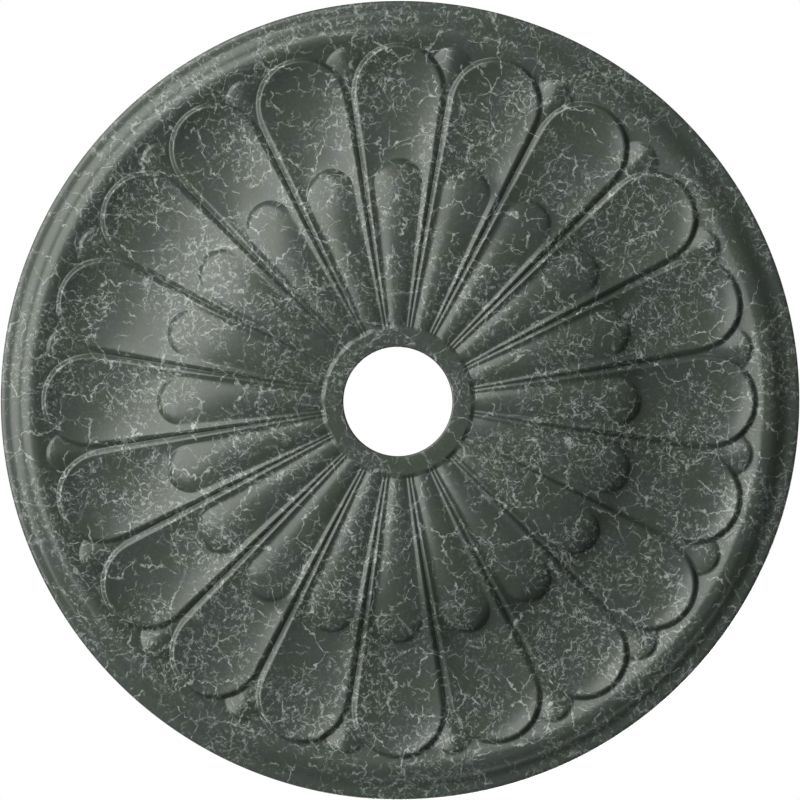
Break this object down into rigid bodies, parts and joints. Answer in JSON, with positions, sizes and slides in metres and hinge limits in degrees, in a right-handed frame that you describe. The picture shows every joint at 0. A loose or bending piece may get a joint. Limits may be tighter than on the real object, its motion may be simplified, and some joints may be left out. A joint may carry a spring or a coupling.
{
  "type": "ceiling rose",
  "caption": "Round ceiling rose: fluted scooped petals round a flat hub ring, small darts between their tips, a stepped rim and a wiring hole through the middle.",
  "frame": {"origin": "centre of the wiring hole on the flat back, where the back meets the ceiling", "axes": "+Z out of the back and up into the ceiling, the carved face looks down along -Z, +X along the middle of one petal"},
  "size_m": [0.6794, 0.6794, 0.0444],
  "materials": {
    "painted_urethane": "dark green satin paint with a fine pale crackle on moulded urethane"
  },
  "bodies": {
    "root": {"ceiling_rose": "painted_urethane"}
  },
  "joints": []
}
